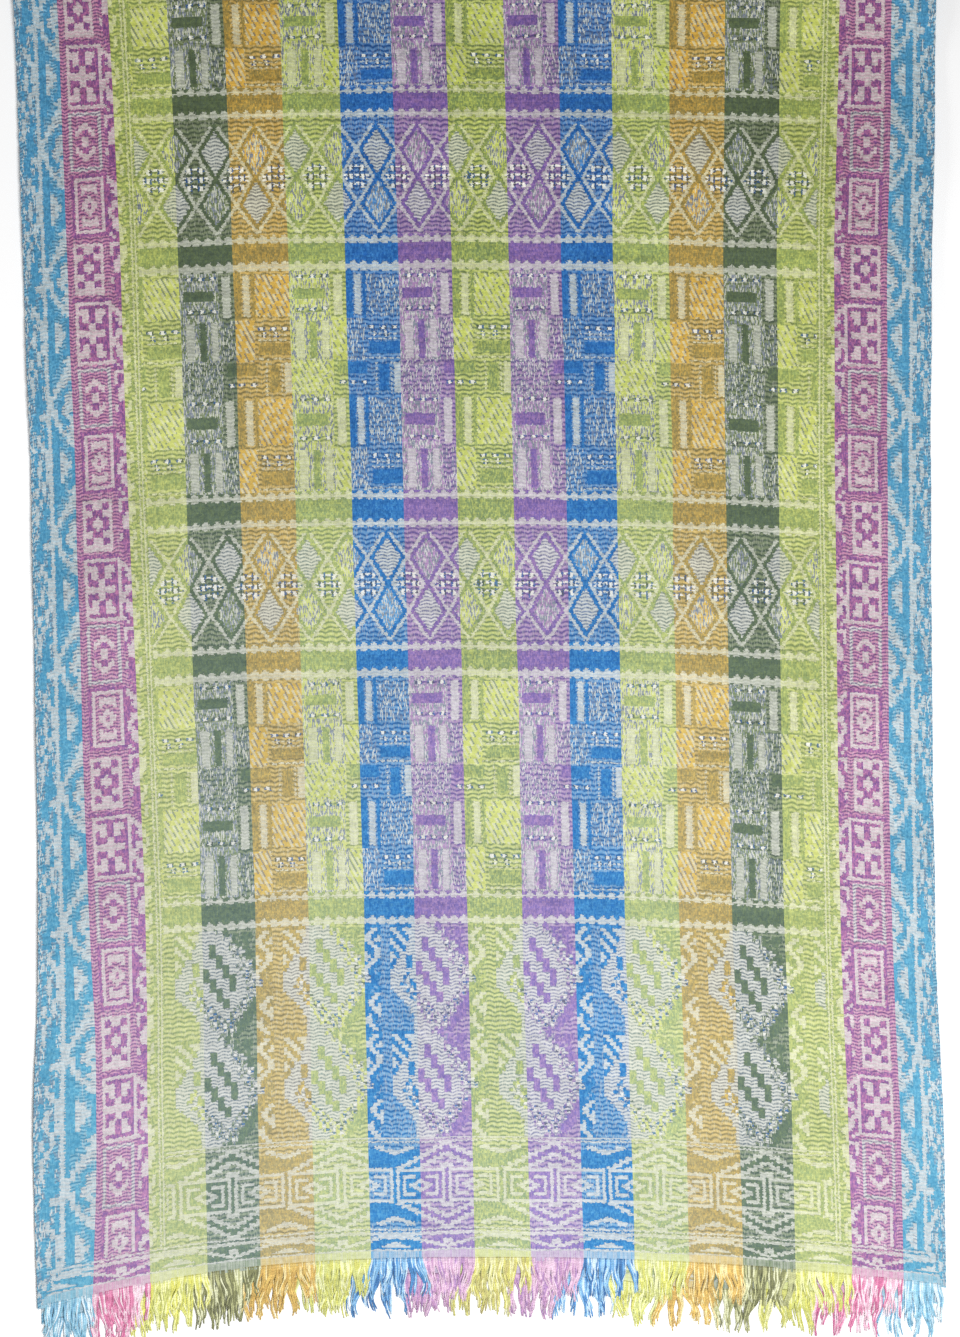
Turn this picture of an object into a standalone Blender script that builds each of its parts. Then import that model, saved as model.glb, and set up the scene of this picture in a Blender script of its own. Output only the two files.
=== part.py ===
# Jamawar shawl: a long striped stole with fringed ends, folded once across its length
# and laid flat with both fringed ends together.
# Metres, +Z up, +Y towards the fold, +X to the right of someone facing the fold.

import math
import random
from collections import namedtuple

import bmesh
import bpy
from mathutils import Matrix, Vector

# The cloth
HALF_WIDTH = 0.3555  # half of the woven width, 28 inches from selvedge to selvedge
INNER_STRIPE = 0.281  # from the middle of the cloth to the inner edge of a border stripe
LAYER_LENGTH = 0.997  # from the fold to the roots of the upper fringe, down the middle
CLOTH_THICKNESS = 0.0012
LAYER_GAP = 0.0011  # air between the two layers
FOLD_RADIUS = 0.0029  # of the soft bend, at half the thickness
FOLD_SLOPE = 0.045  # over this length the upper layer comes down from the fold
HEM_FLAT = 0.05  # the swells of the upper layer die out over this length before the hem
EDGE_SWELL = 0.0016  # how far the upper layer lifts along its selvedges
EDGE_SWELL_LENGTH = 0.142
EDGE_SWELL_START = 0.19  # from the middle of the cloth, where the lift begins
MIDDLE_SWELL = 0.0005

# The lower layer
LOWER_REACH = 0.013  # how far its end shows past the upper one
LOWER_REACH_BUMP = 0.006  # and how much more at the right of the middle
BUMP_AT = 0.175
BUMP_WIDTH = 0.07

# The ends
HEADING = 0.0115  # the plain strip that holds the roots of the fringe
JOINT_GAP = 0.0003
FRINGE_MARGIN = 0.006  # bare selvedge beside the outermost locks
LOCKS = 128  # for each end
LOCK_SHARE = 0.6  # of the pitch that a root takes up
LOCK_PITCH = 2.0 * (HALF_WIDTH - FRINGE_MARGIN) / (LOCKS - 1 + LOCK_SHARE)
LOCK_LENGTH = 0.029
LOCK_LENGTH_SPREAD = 0.0035
LOCK_SWAY = 0.0034  # how far the tips drift together
LOCK_SWAY_LENGTH = 0.083
LOCK_STRAY = 0.0008  # how far one tip strays alone
# A lock beyond its root: place along it as a share of its length, width and thickness there
LockSection = namedtuple("LockSection", "along width thickness")
LOCK_SECTIONS = (
    LockSection(0.45, 0.0026, 0.0016),
    LockSection(1.00, 0.0016, 0.0009),
)

# Mesh steps
STEPS_ACROSS = 26
STEPS_UPPER = 30
STEPS_LOWER = 14
STEPS_FOLD = 10
EDGE_CROWDING = 0.25  # how much closer the lines across lie near the selvedges

# How the upper layer lies. Each row is a section across it, at a distance from the fold.
# The positions run from left to right: selvedge, inner edge of the border stripe, middle,
# inner edge of the other border stripe, selvedge. Sag is how far each selvedge lies
# nearer to the viewer than the middle of the same weft.
Section = namedtuple("Section", "from_fold left stripe_left middle stripe_right right sag_left sag_right")
SECTIONS = (
    Section(0.000, -0.3623, -0.2900, -0.0050, 0.2793, 0.3539, 0.0061, 0.0061),
    Section(0.098, -0.3585, -0.2846, -0.0027, 0.2777, 0.3532, 0.0107, 0.0099),
    Section(0.222, -0.3543, -0.2793, 0.0004, 0.2751, 0.3509, 0.0122, 0.0122),
    Section(0.405, -0.3479, -0.2728, 0.0046, 0.2762, 0.3501, 0.0145, 0.0152),
    Section(0.713, -0.3433, -0.2602, 0.0114, 0.2797, 0.3536, 0.0191, 0.0198),
    Section(0.877, -0.3471, -0.2579, 0.0152, 0.2861, 0.3600, 0.0274, 0.0213),
    Section(0.997, -0.3440, -0.2560, 0.0183, 0.2892, 0.3623, 0.0381, 0.0213),
)
COLUMNS = ("left", "stripe_left", "middle", "stripe_right", "right")
COLUMN_PLACES = (-HALF_WIDTH, -INNER_STRIPE, 0.0, INNER_STRIPE, HALF_WIDTH)
SAG_POWER_LEFT = 2.8
SAG_POWER_RIGHT = 2.0
# How far the lower layer lies to the side of the upper one at the ends, in the same columns
LOWER_DRIFT = (0.003, -0.011, -0.018, -0.029, -0.006)

CLOTH_COLOUR = (0.42, 0.47, 0.34, 1.0)
FRINGE_COLOUR = (0.62, 0.60, 0.42, 1.0)


def clear_objects():
    for thing in list(bpy.data.objects):
        bpy.data.objects.remove(thing, do_unlink=True)


def smoothstep(value):
    value = min(max(value, 0.0), 1.0)
    return value * value * (3.0 - 2.0 * value)


def slope_at(column, index):
    """Slope of a column of SECTIONS at one of its rows."""
    before = SECTIONS[max(index - 1, 0)]
    after = SECTIONS[min(index + 1, len(SECTIONS) - 1)]
    rise = getattr(after, column) - getattr(before, column)
    return rise / (after.from_fold - before.from_fold)


def section_value(column, from_fold):
    """A column of SECTIONS at any distance from the fold, as a smooth curve through its rows."""
    last = SECTIONS[-1]
    if from_fold >= last.from_fold:
        return getattr(last, column)
    index = max(row for row in range(len(SECTIONS) - 1) if SECTIONS[row].from_fold <= max(from_fold, 0.0))
    start = SECTIONS[index]
    end = SECTIONS[index + 1]
    span = end.from_fold - start.from_fold
    t = (max(from_fold, 0.0) - start.from_fold) / span
    value = getattr(start, column) * (2.0 * t**3 - 3.0 * t**2 + 1.0)
    value += slope_at(column, index) * span * (t**3 - 2.0 * t**2 + t)
    value += getattr(end, column) * (3.0 * t**2 - 2.0 * t**3)
    value += slope_at(column, index + 1) * span * (t**3 - t**2)
    return value


def across_value(values, across):
    """Linear between the five columns, for a thread at this distance from the middle."""
    across = min(max(across, -HALF_WIDTH), HALF_WIDTH)
    index = max(place for place in range(len(values) - 1) if COLUMN_PLACES[place] <= across)
    span = COLUMN_PLACES[index + 1] - COLUMN_PLACES[index]
    t = (across - COLUMN_PLACES[index]) / span
    return values[index] * (1.0 - t) + values[index + 1] * t


def sag(across, from_fold):
    share = abs(across) / HALF_WIDTH
    if across < 0.0:
        return section_value("sag_left", from_fold) * share**SAG_POWER_LEFT
    return section_value("sag_right", from_fold) * share**SAG_POWER_RIGHT


def lay(across, from_fold, lower):
    """Where a point of the cloth lies on the table, for its place in the cloth."""
    x = across_value([section_value(name, from_fold) for name in COLUMNS], across)
    y = -from_fold - sag(across, from_fold)
    if lower:
        share = max(from_fold, 0.0) / LAYER_LENGTH
        x += across_value(LOWER_DRIFT, across) * share * share
        bump = math.exp(-(((across - BUMP_AT) / BUMP_WIDTH) ** 2))
        y -= (LOWER_REACH + LOWER_REACH_BUMP * bump) * smoothstep(share)
    return x, y


def swell(across, from_fold):
    """How far the upper layer stands off the lower one, beyond the gap between them."""
    side = max(abs(across) - EDGE_SWELL_START, 0.0) / (HALF_WIDTH - EDGE_SWELL_START)
    turn = 2.0 * math.pi * from_fold / EDGE_SWELL_LENGTH
    edge = EDGE_SWELL * side**1.5 * (0.5 + 0.5 * math.sin(turn + (1.1 if across < 0.0 else 2.6)))
    wave = math.sin(turn * 0.43 + across * 9.0) * math.cos(across * 14.0 + turn * 0.21)
    middle = MIDDLE_SWELL * (0.5 + 0.5 * wave)
    return (edge + middle) * smoothstep((LAYER_LENGTH - HEADING - from_fold) / HEM_FLAT)


def new_object(name, mesh, colour, collection):
    material = bpy.data.materials.new(name + "_finish")
    material.use_nodes = True
    shader = material.node_tree.nodes["Principled BSDF"]
    shader.inputs["Base Color"].default_value = colour
    shader.inputs["Roughness"].default_value = 0.85
    shader.inputs["Metallic"].default_value = 0.0
    mesh.materials.append(material)
    thing = bpy.data.objects.new(name, mesh)
    collection.objects.link(thing)
    return thing


def mesh_from(bm, name):
    bmesh.ops.recalc_face_normals(bm, faces=bm.faces[:])
    mesh = bpy.data.meshes.new(name)
    bm.to_mesh(mesh)
    bm.free()
    return mesh


def spread_across(share):
    """From -1 at one selvedge to 1 at the other, with the lines closer near the selvedges."""
    return HALF_WIDTH * share * (1.0 + EDGE_CROWDING - EDGE_CROWDING * share * share)


def cloth_point(across, step):
    """A point of the folded sheet. The steps run from the lower end, round the fold, to the upper end."""
    rest = CLOTH_THICKNESS / 2.0
    upper_rest = rest + CLOTH_THICKNESS + LAYER_GAP
    end = LAYER_LENGTH - HEADING - JOINT_GAP
    if step <= STEPS_LOWER:
        from_fold = end + (FOLD_RADIUS - end) * step / STEPS_LOWER
        x, y = lay(across, from_fold, True)
        return Vector((x, y, rest))
    if step < STEPS_LOWER + STEPS_FOLD:
        angle = math.pi * (step - STEPS_LOWER) / STEPS_FOLD - math.pi / 2.0
        x, y = lay(across, FOLD_RADIUS * (1.0 - math.cos(angle)), False)
        return Vector((x, y, rest + FOLD_RADIUS * (1.0 + math.sin(angle))))
    from_fold = FOLD_RADIUS + (end - FOLD_RADIUS) * (step - STEPS_LOWER - STEPS_FOLD) / STEPS_UPPER
    x, y = lay(across, from_fold, False)
    drop = smoothstep((from_fold - FOLD_RADIUS) / FOLD_SLOPE)
    fold_top = rest + 2.0 * FOLD_RADIUS
    return Vector((x, y, fold_top + (upper_rest - fold_top) * drop + swell(across, from_fold) * drop))


def make_cloth(collection):
    """The one-piece sheet: an open surface laid along the section of its fold, then thickened."""
    steps = STEPS_LOWER + STEPS_FOLD + STEPS_UPPER
    bm = bmesh.new()
    bmesh.ops.create_grid(bm, x_segments=STEPS_ACROSS, y_segments=steps, size=1.0)
    for vert in bm.verts:
        step = round((vert.co.y + 1.0) / 2.0 * steps)
        vert.co = cloth_point(spread_across(vert.co.x), step)
    cloth = new_object("shawl_cloth", mesh_from(bm, "shawl_cloth"), CLOTH_COLOUR, collection)
    wall = cloth.modifiers.new("Thickness", "SOLIDIFY")
    wall.thickness = CLOTH_THICKNESS
    wall.offset = 0.0
    wall.use_even_offset = True
    return cloth


def root_middle(index):
    """Where the root of a lock lies across the cloth."""
    return FRINGE_MARGIN - HALF_WIDTH + (index + LOCK_SHARE / 2.0) * LOCK_PITCH


def heading_line(line):
    """Places across the cloth of the heading's lines: its ends, and both sides of each root between them."""
    if line == 0:
        return -HALF_WIDTH
    if line > 2 * LOCKS:
        return HALF_WIDTH
    side = LOCK_SHARE / 2.0 if line % 2 == 0 else -LOCK_SHARE / 2.0
    return root_middle((line - 1) // 2) + side * LOCK_PITCH


def make_heading(underside):
    """The plain strip, still straight: x runs across the cloth and y away from the fold."""
    lines = 2 * LOCKS + 1
    bm = bmesh.new()
    bmesh.ops.create_grid(bm, x_segments=lines, y_segments=1, size=1.0)
    for vert in bm.verts:
        line = round((vert.co.x + 1.0) / 2.0 * lines)
        from_fold = LAYER_LENGTH if vert.co.y > 0.0 else LAYER_LENGTH - HEADING
        vert.co = Vector((heading_line(line), from_fold, underside))
    raised = bmesh.ops.extrude_face_region(bm, geom=bm.faces[:])["geom"]
    for vert in (item for item in raised if isinstance(item, bmesh.types.BMVert)):
        vert.co.z += CLOTH_THICKNESS
    return bm


def root_faces(bm):
    """The faces of the heading's outer edge that carry a lock, by the number of the lock."""
    roots = {}
    for face in bm.faces:
        middle = face.calc_center_median()
        if abs(middle.y - LAYER_LENGTH) > JOINT_GAP:
            continue
        index = round((middle.x - root_middle(0)) / LOCK_PITCH)
        if 0 <= index < LOCKS and abs(middle.x - root_middle(index)) < LOCK_PITCH * LOCK_SHARE / 4.0:
            roots[index] = face
    return roots


def place_lock_end(face, middle, width, from_fold, underside, thickness):
    """Sets the four corners of a lock's section, level on its underside."""
    centre = face.calc_center_median()
    for vert in face.verts:
        vert.co.x = middle + math.copysign(width / 2.0, vert.co.x - centre.x)
        vert.co.y = from_fold
        vert.co.z = underside + (thickness if vert.co.z > centre.z else 0.0)


def draw_lock(bm, root, index, underside, dice):
    """Pulls one tapering lock out of its root face."""
    length = LOCK_LENGTH + dice.uniform(-LOCK_LENGTH_SPREAD, LOCK_LENGTH_SPREAD)
    turn = 2.0 * math.pi * root_middle(index) / LOCK_SWAY_LENGTH
    drift = LOCK_SWAY * math.sin(turn) + dice.uniform(-LOCK_STRAY, LOCK_STRAY)
    for part in LOCK_SECTIONS:
        root = bmesh.ops.extrude_discrete_faces(bm, faces=[root])["faces"][0]
        middle = root_middle(index) + drift * part.along
        from_fold = LAYER_LENGTH + length * part.along
        place_lock_end(root, middle, part.width, from_fold, underside, part.thickness)


def make_fringe(name, lower, seed, collection):
    """One heading strip with its row of locks, made straight and then laid along the end."""
    dice = random.Random(seed)
    underside = 0.0 if lower else CLOTH_THICKNESS + LAYER_GAP
    bm = make_heading(underside)
    for index, root in sorted(root_faces(bm).items()):
        draw_lock(bm, root, index, underside, dice)
    for vert in bm.verts:
        vert.co.x, vert.co.y = lay(vert.co.x, vert.co.y, lower)
    return new_object(name, mesh_from(bm, name), FRINGE_COLOUR, collection)


def seat_on_origin(things):
    """Moves the meshes so that the origin is at the bottom centre of them all."""
    bpy.context.view_layer.update()
    graph = bpy.context.evaluated_depsgraph_get()
    corners = []
    for thing in things:
        corners += [thing.matrix_world @ vert.co for vert in thing.evaluated_get(graph).data.vertices]
    low = Vector([min(corner[axis] for corner in corners) for axis in range(3)])
    high = Vector([max(corner[axis] for corner in corners) for axis in range(3)])
    middle = (low + high) / 2.0
    for thing in things:
        thing.data.transform(Matrix.Translation(Vector((-middle.x, -middle.y, 0.0))))


def main():
    clear_objects()
    collection = bpy.data.collections.new("jamawar_shawl")
    bpy.context.scene.collection.children.link(collection)
    things = [
        make_cloth(collection),
        make_fringe("fringe_upper", False, 7, collection),
        make_fringe("fringe_lower", True, 12, collection),
    ]
    seat_on_origin(things)


main()
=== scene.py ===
import math
import random

import bmesh
import bpy
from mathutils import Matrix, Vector, noise


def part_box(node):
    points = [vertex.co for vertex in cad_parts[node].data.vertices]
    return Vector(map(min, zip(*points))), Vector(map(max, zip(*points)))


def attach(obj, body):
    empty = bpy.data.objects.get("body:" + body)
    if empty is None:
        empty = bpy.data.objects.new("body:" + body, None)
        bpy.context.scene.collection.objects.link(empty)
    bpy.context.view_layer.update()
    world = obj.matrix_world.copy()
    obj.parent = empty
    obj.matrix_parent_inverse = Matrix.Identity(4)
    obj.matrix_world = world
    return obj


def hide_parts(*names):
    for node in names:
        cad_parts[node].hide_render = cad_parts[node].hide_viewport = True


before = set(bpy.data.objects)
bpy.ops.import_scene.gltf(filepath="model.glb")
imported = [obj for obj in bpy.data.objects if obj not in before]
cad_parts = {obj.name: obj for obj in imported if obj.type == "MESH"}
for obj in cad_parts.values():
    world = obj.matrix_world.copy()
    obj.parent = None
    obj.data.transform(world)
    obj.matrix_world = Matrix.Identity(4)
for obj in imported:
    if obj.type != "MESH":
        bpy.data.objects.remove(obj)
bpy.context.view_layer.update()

# Jamawar shawl: one long striped stole, folded once across and laid flat, its fringed ends to the viewer.
# Metres, +Z up, +Y towards the fold. Across counts from the middle warp thread, fromFold along the cloth.


# How the cloth lies on the table

lie = dict(
    halfWidth=0.3555,  # half of the woven width
    layerLength=0.997,  # from the fold to the end of the upper layer
    thickness=0.0012,
    layerGap=0.0011,
    foldRadius=0.0029,
    foldSlope=0.045,  # over this length the upper layer comes down from the fold
    hemFlat=0.05,
    heading=0.0115,
    edgeSwell=0.0016,
    edgeSwellLength=0.142,
    edgeSwellStart=0.19,
    edgeSwellTurns=(1.1, 2.6),  # radians by which the left and the right edge's swells are shifted
    middleSwell=0.0005,
    lowerReach=0.013,  # how far the lower end shows past the upper one
    lowerReachBump=0.006,
    bumpAt=0.175,
    bumpWidth=0.07,
    sagPowers=(2.8, 2.0),
    outerStripe=-0.3215,  # inner edge of the left outer stripe, which widens towards the hem
    outerWidening=0.0085,
    wideningReach=0.036,  # to either side of that edge
    wideningAt=0.87,  # from the fold
    wideningLength=0.13,
    weftWander=0.0011,  # how far a weft thread wanders along the cloth
    warpWander=0.0007,
    wanderScale=(21.0, 17.0),  # waves a metre, across and along
    edgeWander=0.0006,  # small nicks and bulges of the selvedges
    edgeWanderScale=150,
    cockle=0.00022,  # fine puckers of the upper layer
    cockleScale=(2.6, 2.2),  # how much closer together than the wanderings
)
bendExtra = (math.pi / 2 - 1) * lie["foldRadius"]  # a thread is longer than its distance from the fold

# Sections across the upper layer: distance from the fold, then the places of the selvedge, the inner edge of
# the border stripe, the middle, the other inner edge and the other selvedge, then the sag of either selvedge.
sections = (
    (0.000, -0.3623, -0.2900, -0.0050, 0.2793, 0.3539, 0.0061, 0.0061),
    (0.098, -0.3585, -0.2846, -0.0027, 0.2777, 0.3532, 0.0107, 0.0099),
    (0.222, -0.3543, -0.2793, 0.0004, 0.2751, 0.3509, 0.0122, 0.0122),
    (0.405, -0.3479, -0.2728, 0.0046, 0.2762, 0.3501, 0.0145, 0.0152),
    (0.713, -0.3433, -0.2602, 0.0114, 0.2797, 0.3536, 0.0191, 0.0198),
    (0.877, -0.3471, -0.2579, 0.0152, 0.2861, 0.3600, 0.0274, 0.0213),
    (0.997, -0.3440, -0.2560, 0.0183, 0.2892, 0.3623, 0.0381, 0.0213),
)
acrossPlaces = (-0.3555, -0.281, 0.0, 0.281, 0.3555)  # of the five columns of places
lowerDrift = (0.003, -0.011, -0.018, -0.029, -0.006)  # of the lower layer's end, in the same columns

clothLow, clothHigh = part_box("shawl_cloth")
foldLine = clothHigh.y - lie["thickness"] / 2  # where the fold is in the frame
sideShift = clothLow.x - sections[0][1]


def smoothstep(value):
    value = min(max(value, 0.0), 1.0)
    return value * value * (3.0 - 2.0 * value)


def sectionSlope(column, index):
    before = sections[max(index - 1, 0)]
    after = sections[min(index + 1, len(sections) - 1)]
    return (after[column] - before[column]) / (after[0] - before[0])


def sectionValue(column, fromFold):
    # a smooth curve through one column of the sections
    fromFold = max(fromFold, 0.0)
    if fromFold >= sections[-1][0]:
        return sections[-1][column]
    index = max(i for i in range(len(sections) - 1) if sections[i][0] <= fromFold)
    start, end = sections[index], sections[index + 1]
    span = end[0] - start[0]
    t = (fromFold - start[0]) / span
    value = start[column] * (2 * t**3 - 3 * t**2 + 1) + end[column] * (3 * t**2 - 2 * t**3)
    value += sectionSlope(column, index) * span * (t**3 - 2 * t**2 + t)
    return value + sectionSlope(column, index + 1) * span * (t**3 - t**2)


def acrossValue(values, across):
    across = min(max(across, acrossPlaces[0]), acrossPlaces[-1])
    index = max(i for i in range(4) if acrossPlaces[i] <= across)
    t = (across - acrossPlaces[index]) / (acrossPlaces[index + 1] - acrossPlaces[index])
    return values[index] * (1 - t) + values[index + 1] * t


def layAt(across, fromFold, lower, section=None):
    # where a point of the cloth lies on the table; section holds the columns at this distance, if known
    if section is None:
        section = sectionAt(fromFold)
    share = abs(across) / lie["halfWidth"]
    left = across < 0
    sag = section[5 if left else 6] * share ** lie["sagPowers"][0 if left else 1]
    x = acrossValue(section[:5], across) + sideShift
    inBorder = max(1 - abs(across - lie["outerStripe"]) / lie["wideningReach"], 0.0)
    widest = math.exp(-(((fromFold - lie["wideningAt"]) / lie["wideningLength"]) ** 2))
    x += lie["outerWidening"] * inBorder * widest
    y = foldLine - fromFold - sag
    if lower:
        along = max(fromFold, 0.0) / lie["layerLength"]
        x += acrossValue(lowerDrift, across) * along * along
        bump = math.exp(-(((across - lie["bumpAt"]) / lie["bumpWidth"]) ** 2))
        y -= (lie["lowerReach"] + lie["lowerReachBump"] * bump) * smoothstep(along)
    return x, y


def sectionAt(fromFold):
    return [sectionValue(column, fromFold) for column in range(1, 8)]


def swellAt(across, fromFold):
    # how far the upper layer stands off the lower one, beyond the gap between them
    side = max(abs(across) - lie["edgeSwellStart"], 0.0) / (lie["halfWidth"] - lie["edgeSwellStart"])
    turn = 2 * math.pi * fromFold / lie["edgeSwellLength"]
    shift = lie["edgeSwellTurns"][0 if across < 0 else 1]
    edge = lie["edgeSwell"] * side**1.5 * (0.5 + 0.5 * math.sin(turn + shift))
    crossing = math.sin(turn * 0.43 + across * 9.0) * math.cos(across * 14.0 + turn * 0.21)  # two slow waves
    middle = lie["middleSwell"] * (0.5 + 0.5 * crossing)
    return (edge + middle) * smoothstep((lie["layerLength"] - lie["heading"] - fromFold) / lie["hemFlat"])


def wander(across, along, seed):
    # a soft random number from -1 to 1 that changes over a few centimetres
    return noise.noise(Vector((across * lie["wanderScale"][0], along * lie["wanderScale"][1], seed)))


# The stripes and the chart of the weave

# Stripes are numbered from the middle outwards. Here is where each starts and the last one ends, in metres
# and in threads, with one chart column to a thread.
stripeEdges = (0.0, 0.0225, 0.0645, 0.1055, 0.1500, 0.1930, 0.2355, 0.2810, 0.3215, 0.3555)
stripeThreads = (0, 16, 48, 80, 112, 144, 176, 208, 240, 264)
threadsAStripe = 32  # but only 24 in the outermost
borderThread = stripeThreads[7]  # where the side border's stripes start

chart = dict(
    columnsAFace=8,  # chart cells in one face of the cloth
    rowsAFace=4,
    facesAcross=66,
    facesALayer=187,
    foldLines=4,  # further lines across each of the two faces that meet at the fold
)
columns = chart["columnsAFace"] * chart["facesAcross"]
layerRows = chart["rowsAFace"] * chart["facesALayer"]
layerThread = lie["layerLength"] + bendExtra  # length of a warp thread in one layer
cellLength = layerThread / layerRows

# What each cell of the chart is woven as
ground, deep, cream, grey, bright, dark, fleck, pale = range(8)
marks = {".": ground, "#": deep, "o": cream, "*": bright, "x": dark, "/": fleck, "-": pale}


def acrossOf(threads):
    # distance from the middle of the cloth, for a thread counted from the middle
    count = abs(threads)
    index = max(i for i in range(len(stripeThreads) - 1) if stripeThreads[i] <= count)
    t = (count - stripeThreads[index]) / (stripeThreads[index + 1] - stripeThreads[index])
    place = stripeEdges[index] * (1 - t) + stripeEdges[index + 1] * t
    return math.copysign(place, threads)


def rowOf(fromFold):
    # the chart row at a distance from the fold, measured as the cloth lies
    return round((fromFold + bendExtra) / cellLength)


def charted(rows, x, y):
    return marks[rows[y % len(rows)][x % len(rows[0])]]


# The bands of the pattern and where each ends, in metres from the fold
bands = (
    ("patchC", 0.0190),
    ("patchA", 0.0550),
    ("patchB", 0.0848),
    ("lineUp", 0.0910),
    ("bar", 0.1030),
    ("lineDown", 0.1098),
    ("lattice", 0.2001),
    ("lineUp", 0.2063),
    ("bar", 0.2203),
    ("lineDown", 0.2276),
    ("patchA", 0.2660),
    ("patchB", 0.2970),
    ("patchC", 0.3245),
    ("patchA", 0.3650),
    ("patchB", 0.3993),
    ("lineUp", 0.4055),
    ("bar", 0.4197),
    ("lineDown", 0.4265),
    ("lattice", 0.5168),
    ("lineUp", 0.5230),
    ("bar", 0.5368),
    ("lineDown", 0.5441),
    ("patchA", 0.5805),
    ("patchB", 0.6110),
    ("patchC", 0.6375),
    ("patchA", 0.6770),
    ("patchB", 0.7093),
    ("lineUp", 0.7155),
    ("bar", 0.7286),
    ("lineDown", 0.7359),
    ("paisley", 0.9005),
    ("doubleLine", 0.9055),
    ("mountain", 0.9250),
    ("cartouche", 0.9515),
    ("mirrored", 0.9710),
    ("hemLine", 0.9765),
    ("lowSteps", 0.9878),
    ("lastLine", 0.9892),
    ("heading", 1.0100),
)


# In the functions of the bands x counts the threads of a stripe or of a pair of them, and y the band's rows


def checkRow(x, squares, pitch=7, width=2):
    # small bright squares in a row, with a dark thread on either side of each
    for index in range(squares):
        place = x - index * pitch
        if 0 <= place < width:
            return bright
        if place in (-1, width):
            return dark
    return None


def patchA(odd, x, y, tall):
    # speckle with rows of checks, a deep bar and a cream one, then a cream bar beside flecks
    if odd:
        if x >= 23:
            return cream if 25 <= x < 30 and 2 <= y < tall - 2 else ground
        if y in (2, tall - 7) or y in (3, tall - 6):
            return checkRow(x - 5, 3) or (ground if 4 <= x < 19 else grey)
        if tall * 0.33 <= y < tall * 0.55 and 2 <= x < 20:
            return deep
        if y == tall - 5 and 3 <= x < 20:
            return ground
        return grey
    if x < 12:
        return cream if 5 <= x < 9 and 2 <= y < tall - 2 else deep if x < 4 or x > 9 else ground
    return fleck if 1 < y < tall - 2 else ground


def patchB(odd, x, y, tall):
    # upright cream and deep bars on speckle, then flecks beside rows of checks and dashes
    if odd:
        if x >= 24:
            return fleck
        if 1 <= y < tall - 1 and (3 <= x < 8 or 18 <= x < 22):
            return cream
        return deep if 11 <= x < 15 and 1 <= y < tall - 1 else grey
    if x < 11:
        return fleck
    if y in (4, 5):
        return checkRow(x - 14, 3) or ground
    if y in (8, 11) and 13 <= x < 31:
        return cream if x % 3 else ground
    if y in (7, 9):
        return checkRow(x - 16, 2, width=1) or ground
    if 13 <= y < tall - 4 and x > 12:
        return deep
    return cream if y == tall - 2 and x % 4 else ground


def patchC(odd, x, y, tall):
    # flecks beside a small deep field, then the same field beside upright bars and lines
    middle = y in (tall * 6 // 10, tall * 6 // 10 + 1)
    if odd:
        if x >= 24:
            if middle:
                return checkRow(x - 28, 2) or ground
            return deep if 1 <= y < tall * 0.38 and x > 25 else ground
        return fleck if (x + y) % 7 else grey
    if x < 12:
        if middle:
            return checkRow(x - 2, 2) or ground
        return deep if 1 <= y < tall * 0.38 else ground
    if 28 <= x < 32 and 1 <= y < tall - 1:
        return cream
    if x in (17, 26):
        return cream if y % 3 else ground
    return deep if 19 <= x < 25 and 2 <= y < tall - 2 else ground


patches = dict(patchA=patchA, patchB=patchB, patchC=patchC)


toothPitch, toothStart = 6.4, -2.1  # threads


def scallop(x, y, tall):
    # a cream line with small teeth along its upper edge, in step with the bows of the ribs
    wave = math.cos(2 * math.pi * (x - toothStart) / toothPitch)
    if y < 2:
        return cream if wave > 0.5 - 0.9 * y else deep
    return cream if y < tall - 1 or wave > -0.5 else deep


heartRows = (
    "......x...x......",
    "....**x***x**....",
    "...x**x...x**x...",
    "....**x...x**....",
    ".................",
    "...x..x...x..x...",
    ".**x**x***x**x**.",
    "x..x**x.x.x**x..x",
    ".**x**x...x**x**.",
    ".................",
    "...x..x...x..x...",
    "....**x***x**....",
    "...x**x...x**x...",
    "....**x...x**....",
    "......x...x......",
)


diamonds = dict(
    pitch=0.0314,
    halfWidth=0.0122,
    halfHeight=0.0212,
    bandEnd=0.0434,  # from the middle of the band, as the next three
    endRim=0.0418,
    creamFrom=0.0406,
    waist=0.0036,
    armSpread=0.70,  # how far an arm goes sideways for each step along the cloth
    armSlant=0.82,  # turns a width across the cloth into one square to an arm
    outlineSlant=0.0106,  # and the share of a diamond into a width square to its outline
    line=0.00125,  # half width of a cream line
    rim=0.0042,  # how far the deep colour beside it reaches
)


def lattice(across, along, wide):
    # a row of diamonds whose outlines run on, up and down, as slanting arms; across and along in metres from
    # the middle of the band, wide for the width of a cell
    pitch, reach = diamonds["pitch"], diamonds["halfHeight"]
    place = across / pitch - math.floor(across / pitch + 0.5)
    aside = abs(place) * pitch
    level = abs(along)
    inside = 1 - aside / diamonds["halfWidth"] - level / reach  # above 0 in the diamond itself
    arm = max(level - reach, 0.0) * diamonds["armSpread"]
    near = abs(inside) * diamonds["outlineSlant"]
    if level >= reach:
        near = abs(aside - arm) * diamonds["armSlant"]
    if level > diamonds["bandEnd"]:
        return ground
    if near < diamonds["line"] and along > -diamonds["creamFrom"]:
        return cream
    if inside > 0:
        return heartMark(place * pitch / wide, along / cellLength)
    if level > reach and aside < arm:
        return ground
    if level > diamonds["endRim"] or near < diamonds["rim"] or level < diamonds["waist"]:
        return deep
    isWhite = (math.floor(across / pitch) + (1 if along < 0 else 0)) % 2 == 0
    return pale if isWhite else grey


def heartMark(x, y):
    # the small many-coloured check at the heart of a diamond, its columns parted by dark threads
    column = math.floor(x + len(heartRows[0]) / 2)
    row = math.floor(y + len(heartRows) / 2)
    if 0 <= row < len(heartRows) and 0 <= column < len(heartRows[0]):
        return marks[heartRows[row][column]]
    return ground


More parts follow.
